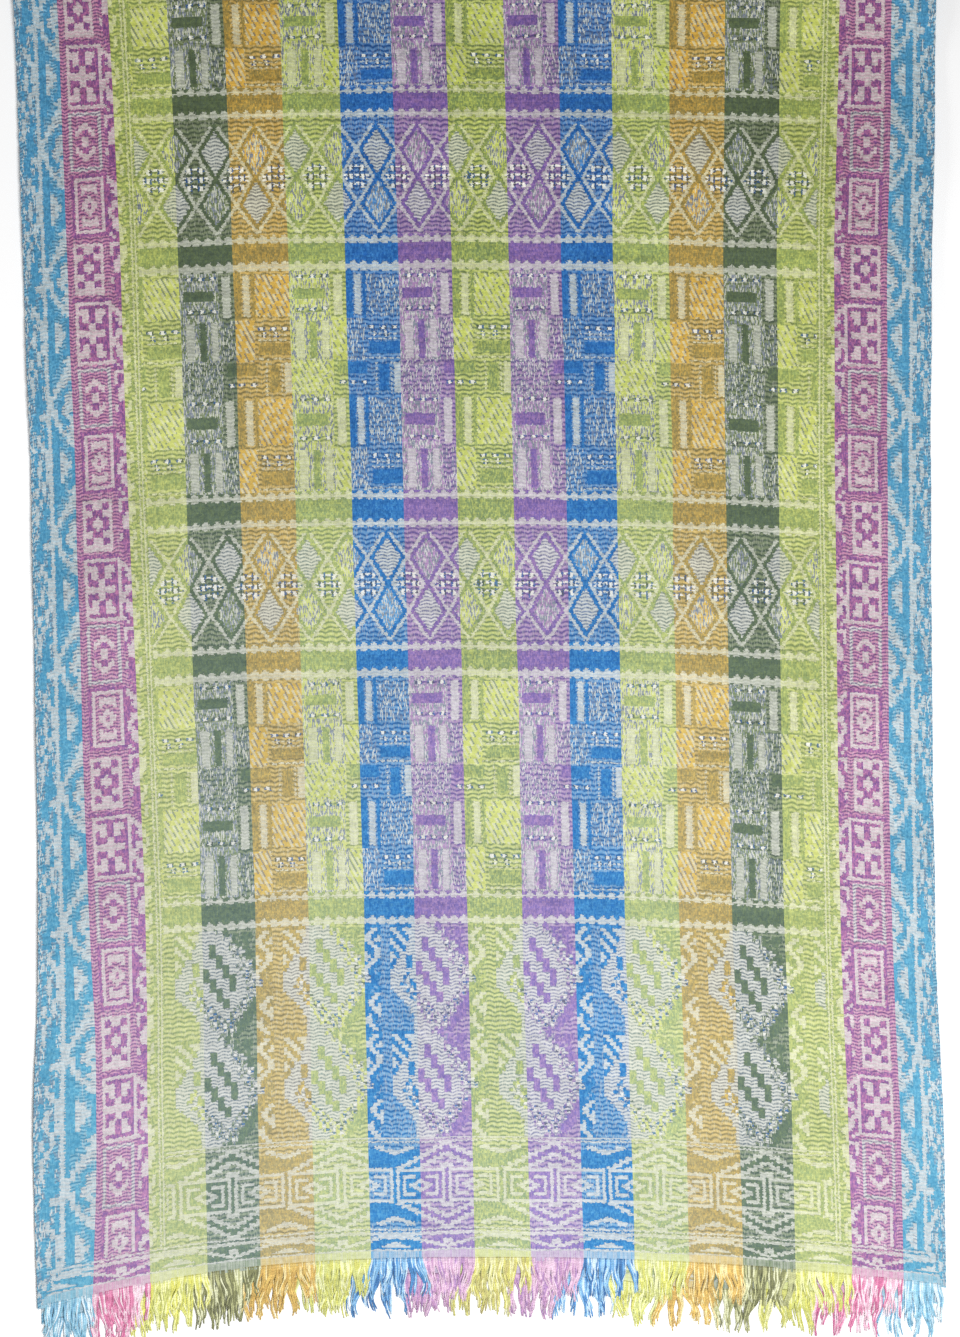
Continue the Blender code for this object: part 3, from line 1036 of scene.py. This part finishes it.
def makeWovenCell():
    # the colour and the height of one cell
    takes = (
        ("Mark", "f"), ("Light", "c"), ("Deep", "c"), ("Figure", "c"), ("Slanting", "f"),
        ("Cells", "v"), ("Place", "v"),
    )
    tree, source, result = newGroup("wovenCell", takes, (("Colour", "c"), ("Height", "f")))
    light, deepDye, figure = source["Light"], source["Deep"], source["Figure"]
    mark = source["Mark"]
    greyThread = linear(*weaveLook["greyThread"])

    # single threads: two to a cell, each a row of short dashes
    threadPlace, rowPlace = unpack3(tree, source["Cells"])[:2]
    column, row = calc(tree, "FLOOR", threadPlace), calc(tree, "FLOOR", rowPlace)
    thread = calc(tree, "FLOOR", calc(tree, "MULTIPLY", threadPlace, 2.0))
    stagger = calc(tree, "MULTIPLY", calc(tree, "FLOORED_MODULO", thread, 2.0), 0.5)
    dashPlace = calc(tree, "ADD", calc(tree, "DIVIDE", rowPlace, weaveLook["dashTall"]), stagger)
    dash = dice(tree, thread, calc(tree, "FLOOR", dashPlace), 5.0)
    warp = dice(tree, thread, 0.0, 8.0)
    knot = dice(tree, column, row, 3.0)
    isDim = calc(tree, "LESS_THAN", dash, weaveLook["dimBelow"])
    isPale = calc(tree, "GREATER_THAN", dash, weaveLook["paleAbove"])

    # the side borders have fine ribs all over
    broadMask, fineMask = weftRibs(tree, source["Place"], thread, rowPlace)
    aside = calc(tree, "ABSOLUTE", calc(tree, "SUBTRACT", column, columns / 2 - 0.5))
    isBorder = calc(tree, "GREATER_THAN", aside, float(borderThread))
    ribMask = calc(tree, "MULTIPLY_ADD", isBorder, calc(tree, "SUBTRACT", fineMask, broadMask), broadMask)

    # ground, deep and cream
    shade = ribLook["shade"]
    # the deep dye darkened further: painted shadow in the valleys of the ribs, real deep threads beneath it
    shaded = blend(tree, 1.0, deepDye, (shade, shade, shade, 1.0), "MULTIPLY")
    groundColour = blend(tree, weaveLook["groundCream"], light, figure)
    groundColour = tint(tree, ribMask, ribLook["depth"], groundColour, shaded)
    groundColour = tint(tree, isDim, weaveLook["groundDim"], groundColour, deepDye)
    groundColour = tint(tree, isPale, weaveLook["groundPale"], groundColour, figure)
    mottle = calc(tree, "SUBTRACT", calc(tree, "ADD", dash, knot), weaveLook["mottleMiddle"])
    deepColour = tint(tree, mottle, weaveLook["mottle"], deepDye, light)
    creamColour = tint(tree, fineMask, weaveLook["creamRibs"], figure, light)
    creamColour = tint(tree, isDim, weaveLook["creamDim"], creamColour, greyThread)

    # speckle of cream, own and grey threads
    isCream = calc(tree, "LESS_THAN", dash, weaveLook["creamShare"])
    isOwn = calc(tree, "LESS_THAN", dash, weaveLook["creamShare"] + weaveLook["ownShare"])
    greyColour = blend(tree, isOwn, greyThread, light)
    greyColour = blend(tree, isCream, greyColour, figure)
    greyColour = tint(tree, fineMask, weaveLook["speckleRibs"], greyColour, figure)

    # white fields with ribs of grey thread mixed with painted rib shadow
    greyThreadAndRibShadow = blend(tree, weaveLook["shadeGrey"], greyThread, shaded)
    whiteColour = blend(tree, weaveLook["whiteShare"], figure, linear(*weaveLook["whiteThread"]))
    uneven = calc(tree, "MULTIPLY_ADD", dash, weaveLook["whiteRibSpread"], weaveLook["whiteRibLeast"])
    whiteRib = calc(tree, "MULTIPLY", calc(tree, "MULTIPLY", fineMask, uneven), weaveLook["whiteRibs"])
    whiteColour = blend(tree, whiteRib, whiteColour, greyThreadAndRibShadow)

    # flecks: own threads with odd grey and cream ones, or steep slanting dashes
    ownColour = blend(tree, isPale, groundColour, figure)
    ownColour = tint(tree, isDim, weaveLook["fleckDim"], ownColour, greyThread)
    slanted = slantingDashes(tree, thread, row, knot, (light, figure, greyThreadAndRibShadow))
    fleckColour = blend(tree, source["Slanting"], ownColour, slanted)

    # the bright and the dark marks of the checks
    brightThread = linear(*weaveLook["brightThread"])
    brightColour = tint(tree, dash, weaveLook["brightTint"], brightThread, light)
    isNavy = calc(tree, "GREATER_THAN", dice(tree, column, row, 1.0), weaveLook["navyShare"])
    darkColour = blend(tree, isNavy, linear(*weaveLook["oliveThread"]), linear(*weaveLook["navyThread"]))
    darkColour = blend(tree, weaveLook["darkTint"], darkColour, deepDye)

    # the plain heading at the hems, where the warp shows in streaks
    isHem = calc(tree, "GREATER_THAN", row, layerRows - weaveLook["hemRows"] - 0.5)
    streak = calc(tree, "MULTIPLY_ADD", warp, weaveLook["hemStreaks"], weaveLook["hemTint"])
    paleColour = blend(tree, isHem, whiteColour, blend(tree, streak, figure, light))

    colour = groundColour
    for kind, dyed in (
        (deep, deepColour),
        (cream, creamColour),
        (grey, greyColour),
        (bright, brightColour),
        (dark, darkColour),
        (fleck, fleckColour),
        (pale, paleColour),
    ):
        colour = blend(tree, isMark(tree, mark, kind), colour, dyed)
    plug(tree, colour, result["Colour"])
    plug(tree, floatHeight(tree, mark, (threadPlace, rowPlace), ribMask, dash), result["Height"])
    arrange(tree)
    return tree


toneLook = dict(
    broadScale=9.0,
    streakScale=60.0,
    streakStretch=(0.25, 3.0, 1.0),
    fineScale=380.0,
    fineShare=1.6,
)


def makeThreadTone():
    # uneven dyeing: broad soft patches and fine streaks
    takes = (("Colour", "c"), ("Place", "v"), ("Amount", "f"))
    tree, source, result = newGroup("threadTone", takes, (("Colour", "c"),))
    stretch = addNode(tree, "ShaderNodeMapping")
    plug(tree, source["Place"], stretch.inputs["Vector"])
    stretch.inputs["Scale"].default_value = toneLook["streakStretch"]
    broad = calc(tree, "SUBTRACT", cloud(tree, source["Place"], toneLook["broadScale"], 3.0), 0.5)
    streak = calc(tree, "SUBTRACT", cloud(tree, stretch.outputs[0], toneLook["streakScale"]), 0.5)
    fine = calc(tree, "SUBTRACT", cloud(tree, source["Place"], toneLook["fineScale"], 1.0), 0.5)
    fine = calc(tree, "MULTIPLY", fine, toneLook["fineShare"])
    total = calc(tree, "ADD", calc(tree, "ADD", broad, streak), fine)
    tone = calc(tree, "MULTIPLY_ADD", total, source["Amount"], 1.0)
    node = addNode(tree, "ShaderNodeHueSaturation")
    plug(tree, source["Colour"], node.inputs["Color"])
    plug(tree, tone, node.inputs["Value"])
    plug(tree, node.outputs[0], result["Colour"])
    arrange(tree)
    return tree


def makePaintedLight():
    # painted light: colours paler by a gain that grows with the share and is held back in the light ones,
    # under a bluish painted haze
    takes = (("Colour", "c"), ("Share", "f"), ("Gain", "f"), ("Limit", "f"), ("Veil", "v"))
    tree, source, result = newGroup("paintedEndLight", takes, (("Colour", "c"),))
    gain = calc(tree, "MULTIPLY_ADD", source["Share"], source["Gain"], 1.0)
    limit = calc(tree, "MULTIPLY", source["Share"], source["Limit"])
    lifted = vectorCalc(tree, "SCALE", source["Colour"], scale=gain)
    white = (1.0, 1.0, 1.0)
    held = vectorCalc(tree, "MULTIPLY_ADD", source["Colour"], pack3(tree, limit, limit, limit), white)
    ratio = vectorCalc(tree, "DIVIDE", lifted, held)
    veil = vectorCalc(tree, "SCALE", source["Veil"], scale=source["Share"])
    missing = vectorCalc(tree, "SUBTRACT", white, ratio)
    plug(tree, vectorCalc(tree, "MULTIPLY_ADD", missing, veil, ratio), result["Colour"])
    arrange(tree)
    return tree


# Materials

clothFinish = dict(
    roughness=0.9,
    sheen=0.04,
    toneAmount=0.5,
    jitter=1.0,
    relief=0.00024,
    wrinkle=0.0008,
    wrinkleScale=75.0,
    paintedLightFrom=0.40,  # along Y, where the painted light towards the hems starts
    paintedLightOver=0.60,
    paintedLightGain=0.74,  # how much paler the painted light makes a dark dye at the end of that length
    paintedLightLimit=1.3,  # how much of this is lost in a full white
    paintedLightSides=(
        # less of it towards either side: two places along X, and the share there
        (-0.37, -0.24, 0.45, 1.0),
        (0.12, 0.23, 1.0, 0.60),
    ),
    fadeVeil=(0.006, 0.024, 0.050),  # share of painted white haze in the red, green and blue there
)
yarnFinish = dict(
    roughness=0.88,
    sheen=0.08,
    toneAmount=0.4,
    plies=2.0,
    plyTurns=16.0,
    plyLight=0.2,  # painted shade of each round ply: how much lighter its middle is than its edge
    plyShade=0.85,
    relief=0.00012,
)
fibreSheen, fibreGloss = 0.6, 0.12  # sheen roughness and specular level of both


def newMaterial(name, finish):
    material = bpy.data.materials.new(name)
    material.use_nodes = True
    tree = material.node_tree
    shader = tree.nodes["Principled BSDF"]
    shader.inputs["Roughness"].default_value = finish["roughness"]
    shader.inputs["Sheen Weight"].default_value = finish["sheen"]
    shader.inputs["Sheen Roughness"].default_value = fibreSheen
    shader.inputs["Specular IOR Level"].default_value = fibreGloss
    return material, tree, shader


def addBump(tree, height, distance, shader):
    bump = addNode(tree, "ShaderNodeBump")
    bump.inputs["Strength"].default_value = 1.0
    bump.inputs["Distance"].default_value = distance
    plug(tree, height, bump.inputs["Height"])
    plug(tree, bump.outputs[0], shader.inputs["Normal"])


def makeClothMaterial(groups):
    material, tree, shader = newMaterial("wovenCloth", clothFinish)
    place = addNode(tree, "ShaderNodeTexCoord").outputs["Object"]
    cells = addNode(tree, "ShaderNodeUVMap", uv_map="chartPlace").outputs[0]
    packed = addNode(tree, "ShaderNodeAttribute", attribute_name="weaveChart")
    grid = useGroup(tree, groups["grid"], Place=cells, Jitter=clothFinish["jitter"])
    code = addNode(tree, "ShaderNodeGroup", node_tree=groups["code"])
    plug(tree, packed.outputs["Vector"], code.inputs["Rows"])
    plug(tree, packed.outputs["Alpha"], code.inputs["Last Row"])
    plug(tree, grid["Column"], code.inputs["Column"])
    plug(tree, grid["Row"], code.inputs["Row"])
    dyes = useGroup(tree, groups["stripes"], Column=grid["Column"])
    cell = useGroup(
        tree, groups["cell"], Mark=code.outputs["Mark"], Light=dyes["Light"], Deep=dyes["Deep"],
        Figure=dyes["Figure"], Slanting=dyes["Slanting"], Cells=cells, Place=place,
    )
    toned = useGroup(
        tree, groups["tone"], Colour=cell["Colour"], Place=place, Amount=clothFinish["toneAmount"]
    )
    xPlace, yPlace = unpack3(tree, place)[:2]
    # how much painted light a place gets: more towards the hems, less towards either side
    share = calc(tree, "SUBTRACT", clothFinish["paintedLightFrom"], yPlace)
    share = calc(tree, "MAXIMUM", calc(tree, "DIVIDE", share, clothFinish["paintedLightOver"]), 0.0)
    for side in clothFinish["paintedLightSides"]:
        kept = addNode(tree, "ShaderNodeMapRange", interpolation_type="SMOOTHSTEP")
        plug(tree, xPlace, kept.inputs["Value"])
        for label, value in zip(("From Min", "From Max", "To Min", "To Max"), side):
            kept.inputs[label].default_value = value
        share = calc(tree, "MULTIPLY", share, kept.outputs[0])
    paintedLit = useGroup(
        tree, groups["paintedLight"], Colour=toned[0], Share=share, Gain=clothFinish["paintedLightGain"],
        Limit=clothFinish["paintedLightLimit"], Veil=clothFinish["fadeVeil"],
    )
    plug(tree, paintedLit[0], shader.inputs["Base Color"])
    wrinkle = cloud(tree, place, clothFinish["wrinkleScale"], 3.0)
    wrinkle = calc(tree, "MULTIPLY", wrinkle, clothFinish["wrinkle"])
    height = calc(tree, "MULTIPLY_ADD", cell["Height"], clothFinish["relief"], wrinkle)
    addBump(tree, height, 1.0, shader)
    arrange(tree)
    return material


def makeYarnMaterial(groups):
    material, tree, shader = newMaterial("fringeYarn", yarnFinish)
    place = addNode(tree, "ShaderNodeTexCoord").outputs["Object"]
    around = addNode(tree, "ShaderNodeSeparateXYZ")
    plug(tree, addNode(tree, "ShaderNodeUVMap", uv_map="yarnPlace").outputs[0], around.inputs[0])
    dyed = addNode(tree, "ShaderNodeAttribute", attribute_name="yarnDye").outputs["Color"]
    turn = calc(tree, "MULTIPLY", around.outputs[1], yarnFinish["plyTurns"])
    turn = calc(tree, "MULTIPLY_ADD", around.outputs[0], yarnFinish["plies"], turn)
    # painted shade across each ply, lighter in its middle and darker at its edges, beside the bump of the
    # same ply
    ply = calc(tree, "ABSOLUTE", calc(tree, "SINE", calc(tree, "MULTIPLY", turn, math.pi)))
    shade = calc(tree, "MULTIPLY_ADD", ply, yarnFinish["plyLight"], yarnFinish["plyShade"])
    shaded = blend(tree, 1.0, dyed, pack3(tree, shade, shade, shade), "MULTIPLY")
    toned = useGroup(tree, groups["tone"], Colour=shaded, Place=place, Amount=yarnFinish["toneAmount"])
    plug(tree, toned[0], shader.inputs["Base Color"])
    addBump(tree, ply, yarnFinish["relief"], shader)
    arrange(tree)
    return material


# The fringes

fringe = dict(
    margin=0.006,
    locks=128,
    lockShare=0.6,
    lockLength=0.029,
    lengthSpread=0.0035,
    sway=0.0034,
    swayLength=0.083,
    stray=0.0008,
    yarnsALock=8,
    yarnRadius=0.00098,
    tipRadius=0.00045,
    sides=6,
    segments=9,
    rootDepth=0.0025,
    tipSpread=0.0032,
    lean=0.0016,  # of a whole lock
    pairLean=0.0021,  # of two neighbouring locks towards each other
    groupLean=0.0060,  # of neighbouring locks together
    curl=0.0010,
    curlTurns=7.0,  # radians along a yarn
    lockCurl=0.0022,
    lockCurlTurns=5.5,
    groupScale=1.8,
    lift=0.0014,
    liftShare=0.8,
    liftSpread=0.2,
    liftTurns=9.0,
    # how steeply, from the root on, a yarn goes to its tip's place, into its lock's curl, down and up again
    tipHaste=1.1,
    lockCurlHaste=1.6,
    settleHaste=3.2,
    liftHaste=4.0,
    yarnStray=0.0009,
    yarnLengths=(-0.008, 0.001),  # beside the length of its lock
    seamReach=0.00001,  # closes the tube along each yarn
)
lockPitch = 2 * (lie["halfWidth"] - fringe["margin"]) / (fringe["locks"] - 1 + fringe["lockShare"])

# Colours of the yarns that hang from each stripe, from the middle of the cloth outwards
yarnDyes = (
    ((206, 202, 118), (198, 196, 130), (224, 222, 176), (188, 180, 120)),
    ((188, 148, 184), (172, 138, 182), (216, 190, 208), (204, 172, 196)),
    ((86, 140, 192), (124, 172, 210), (196, 216, 230), (72, 116, 166), (150, 190, 218)),
    ((206, 206, 116), (200, 204, 134), (226, 228, 178)),
    ((216, 186, 110), (206, 172, 102), (230, 214, 160), (192, 164, 98)),
    ((136, 138, 98), (180, 182, 136), (212, 214, 180), (122, 124, 92)),
    ((208, 207, 110), (198, 201, 124), (226, 227, 172)),
    ((214, 136, 170), (224, 182, 200), (198, 114, 152), (232, 212, 220)),
    ((136, 188, 210), (166, 206, 224), (122, 172, 200), (214, 230, 238)),
)


def stripeOf(across):
    return max(i for i in range(len(stripeDyes)) if stripeEdges[i] <= abs(across) or i == 0)


def yarnPath(root, tipX, length, heights, bend, yarnPool):
    # from inside the hem to the tip, with the bend of its lock and a soft curl of its own
    path = []
    phase = yarnPool.uniform(0, 2 * math.pi)
    curl = yarnPool.uniform(0.3, 1.0) * fringe["curl"]
    for index in range(fringe["segments"] + 1):
        share = index / fringe["segments"]
        x = root.x + (tipX - root.x) * smoothstep(share * fringe["tipHaste"])
        x += curl * math.sin(phase + share * fringe["curlTurns"]) * share
        lockBend = bend[0] * math.sin(bend[1] + share * fringe["lockCurlTurns"])
        x += lockBend * smoothstep(share * fringe["lockCurlHaste"])
        y = root.y + fringe["rootDepth"] - (length + fringe["rootDepth"]) * share
        low, high = heights
        wave = math.sin(phase * 3 + share * fringe["liftTurns"])
        rise = yarnPool.uniform(0, 1) * fringe["liftSpread"] + 0.5 + 0.5 * wave
        rise = fringe["lift"] * rise * smoothstep(share * fringe["liftHaste"]) * fringe["liftShare"]
        z = high + (low - high) * smoothstep(share * fringe["settleHaste"]) + rise
        path.append(Vector((x, y, z)))
    return path


def yarnRings(path, radii):
    # for each point of a path, the point, the two directions round it and the radius
    rings = []
    for index, point in enumerate(path):
        ahead = (path[min(index + 1, len(path) - 1)] - path[max(index - 1, 0)]).normalized()
        sideways = ahead.cross(Vector((0, 0, 1))).normalized()
        rings.append((point, sideways, sideways.cross(ahead), radii[index]))
    return rings


def listYarns(lower, seed):
    # rings and dye of every yarn of one fringe
    lockPool = random.Random(seed)
    yarnPool = random.Random(seed + 100)  # a series of their own
    ends = sectionAt(lie["layerLength"])
    radius = fringe["yarnRadius"]
    rootHeight = lie["thickness"] / 2
    restHeight = radius
    if not lower:
        rootHeight += lie["thickness"] + lie["layerGap"]
        restHeight = lie["thickness"] + radius
    narrowing = (fringe["tipRadius"] - radius) / fringe["segments"]
    radii = [radius + narrowing * i for i in range(fringe["segments"] + 1)]
    yarns = []
    for lock in range(fringe["locks"]):
        middle = fringe["margin"] - lie["halfWidth"] + (lock + fringe["lockShare"] / 2) * lockPitch
        length = fringe["lockLength"] + lockPool.uniform(-fringe["lengthSpread"], fringe["lengthSpread"])
        drift = fringe["sway"] * math.sin(2 * math.pi * middle / fringe["swayLength"])
        drift += lockPool.uniform(-fringe["stray"], fringe["stray"])
        drift += yarnPool.uniform(-fringe["lean"], fringe["lean"])
        drift += fringe["pairLean"] * yarnPool.uniform(0.0, 1.0) * (1 if (lock + lower) % 2 == 0 else -1)
        drift += fringe["groupLean"] * wander(middle * fringe["groupScale"], 0.0, seed)
        bend = (yarnPool.uniform(0.2, 1.0) * fringe["lockCurl"], yarnPool.uniform(0, 2 * math.pi))
        for yarn in range(fringe["yarnsALock"]):
            place = (yarn + 0.5) / fringe["yarnsALock"] - 0.5
            across = middle + place * lockPitch
            root = Vector(layAt(across, lie["layerLength"], lower, ends) + (0.0,))
            tipX = layAt(middle, lie["layerLength"], lower, ends)[0] + drift
            tipX += place * fringe["tipSpread"] + yarnPool.uniform(-fringe["yarnStray"], fringe["yarnStray"])
            yarnLength = length + yarnPool.uniform(*fringe["yarnLengths"])
            path = yarnPath(root, tipX, yarnLength, (restHeight, rootHeight), bend, yarnPool)
            colour = linear(*yarnPool.choice(yarnDyes[stripeOf(across)]))
            yarns.append((yarnRings(path, radii), colour))
    return yarns


def makeFringe(name, node, lower, seed, material):
    # one long grid, cut between the yarns and rolled into a tube along each path
    yarns = listYarns(lower, seed)
    sides, rings = fringe["sides"], fringe["segments"] + 1
    lines = len(yarns) * rings - 1
    bm = bmesh.new()
    uv = bm.loops.layers.uv.new("yarnPlace")
    dye = bm.faces.layers.float_color.new("yarnDye")
    bmesh.ops.create_grid(bm, x_segments=sides, y_segments=lines, size=1.0)
    bridges = []
    for face in bm.faces:
        yarn, ring = divmod(int((face.calc_center_median().y + 1) / 2 * lines), rings)
        if ring == rings - 1:
            bridges.append(face)
            continue
        face[dye] = yarns[yarn][1]
        for loop in face.loops:
            along = (loop.vert.co.y + 1) / 2 * lines - yarn * rings
            loop[uv].uv = ((loop.vert.co.x + 1) / 2, along / (rings - 1))
    bmesh.ops.delete(bm, geom=bridges, context="FACES_ONLY")
    seam = []
    for vert in bm.verts:
        yarn, ring = divmod(round((vert.co.y + 1) / 2 * lines), rings)
        turn = (vert.co.x + 1) * math.pi
        if abs(vert.co.x) > 0.999:
            seam.append(vert)
        point, sideways, upwards, radius = yarns[yarn][0][ring]
        vert.co = point + (sideways * math.cos(turn) + upwards * math.sin(turn)) * radius
    bmesh.ops.remove_doubles(bm, verts=seam, dist=fringe["seamReach"])
    bmesh.ops.delete(bm, geom=[edge for edge in bm.edges if not edge.link_faces], context="EDGES")
    bmesh.ops.holes_fill(bm, edges=[edge for edge in bm.edges if edge.is_boundary], sides=sides)
    made = newObject(name, bm, material)
    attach(made, "root")
    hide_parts(node)
    return made


# Floor, light and camera

studio = dict(
    floorColour=(0.93, 0.93, 0.93, 1.0),
    floorSize=3.0,
    floorRoughness=0.8,
    worldStrength=0.15,
    photoWidth=0.7465,  # of the table that the picture shows
    pictureShape=1337 / 960,
    cameraHeight=3.0,
    sensor=36.0,
    lamps=(
        # name, place, size, watts
        ("softTop", (0.3, -0.6, 1.6), 0.9, 38.0),
        ("lowSide", (-1.6, 1.2, 0.7), 0.5, 10.0),
    ),
)


def makeFloor():
    material = bpy.data.materials.new("paleFloor")
    material.use_nodes = True
    shader = material.node_tree.nodes["Principled BSDF"]
    shader.inputs["Base Color"].default_value = studio["floorColour"]
    shader.inputs["Roughness"].default_value = studio["floorRoughness"]
    bm = bmesh.new()
    bmesh.ops.create_grid(bm, x_segments=1, y_segments=1, size=studio["floorSize"])
    floor = newObject("studioFloor", bm, material)
    return floor


def makeLamps():
    for name, place, size, watts in studio["lamps"]:
        lamp = bpy.data.lights.new(name, "AREA")
        lamp.shape = "DISK"
        lamp.size = size
        lamp.energy = watts
        holder = bpy.data.objects.new(name, lamp)
        holder.location = place
        holder.rotation_euler = (-Vector(place)).to_track_quat("-Z", "Y").to_euler()
        holder.visible_camera = False
        bpy.context.scene.collection.objects.link(holder)
    world = bpy.data.worlds.new("studioAir")
    world.use_nodes = True
    air = world.node_tree.nodes["Background"]
    air.inputs["Color"].default_value = (1.0, 1.0, 1.0, 1.0)
    air.inputs["Strength"].default_value = studio["worldStrength"]
    bpy.context.scene.world = world


def makeCamera():
    # straight above the middle, with a long lens
    lens = bpy.data.cameras.new("topCamera")
    camera = bpy.data.objects.new("topCamera", lens)
    camera.location = (0.0, 0.0, studio["cameraHeight"])
    tall = studio["photoWidth"] * studio["pictureShape"]
    lens.sensor_fit = "VERTICAL"
    lens.sensor_height = studio["sensor"]
    lens.lens = studio["sensor"] * studio["cameraHeight"] / tall
    bpy.context.scene.collection.objects.link(camera)
    bpy.context.scene.camera = camera
    bpy.context.scene.view_settings.view_transform = "Standard"
    bpy.context.scene.cycles.use_denoising = False  # it would smooth the fine weave


print("groups and materials")
shared = dict(
    grid=makeThreadGrid(),
    code=makeChartCode(),
    stripes=makeStripeColours(),
    cell=makeWovenCell(),
    tone=makeThreadTone(),
    paintedLight=makePaintedLight(),
)
clothMaterial = makeClothMaterial(shared)
yarnMaterial = makeYarnMaterial(shared)

print("cloth")
cloth = makeCloth(clothMaterial)
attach(cloth, "root")
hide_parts("shawl_cloth")

print("fringes")
fringeUpper = makeFringe("fringeUpper", "fringe_upper", False, 7, yarnMaterial)
fringeLower = makeFringe("fringeLower", "fringe_lower", True, 12, yarnMaterial)

print("floor, light and camera")
floor = makeFloor()
makeLamps()
makeCamera()
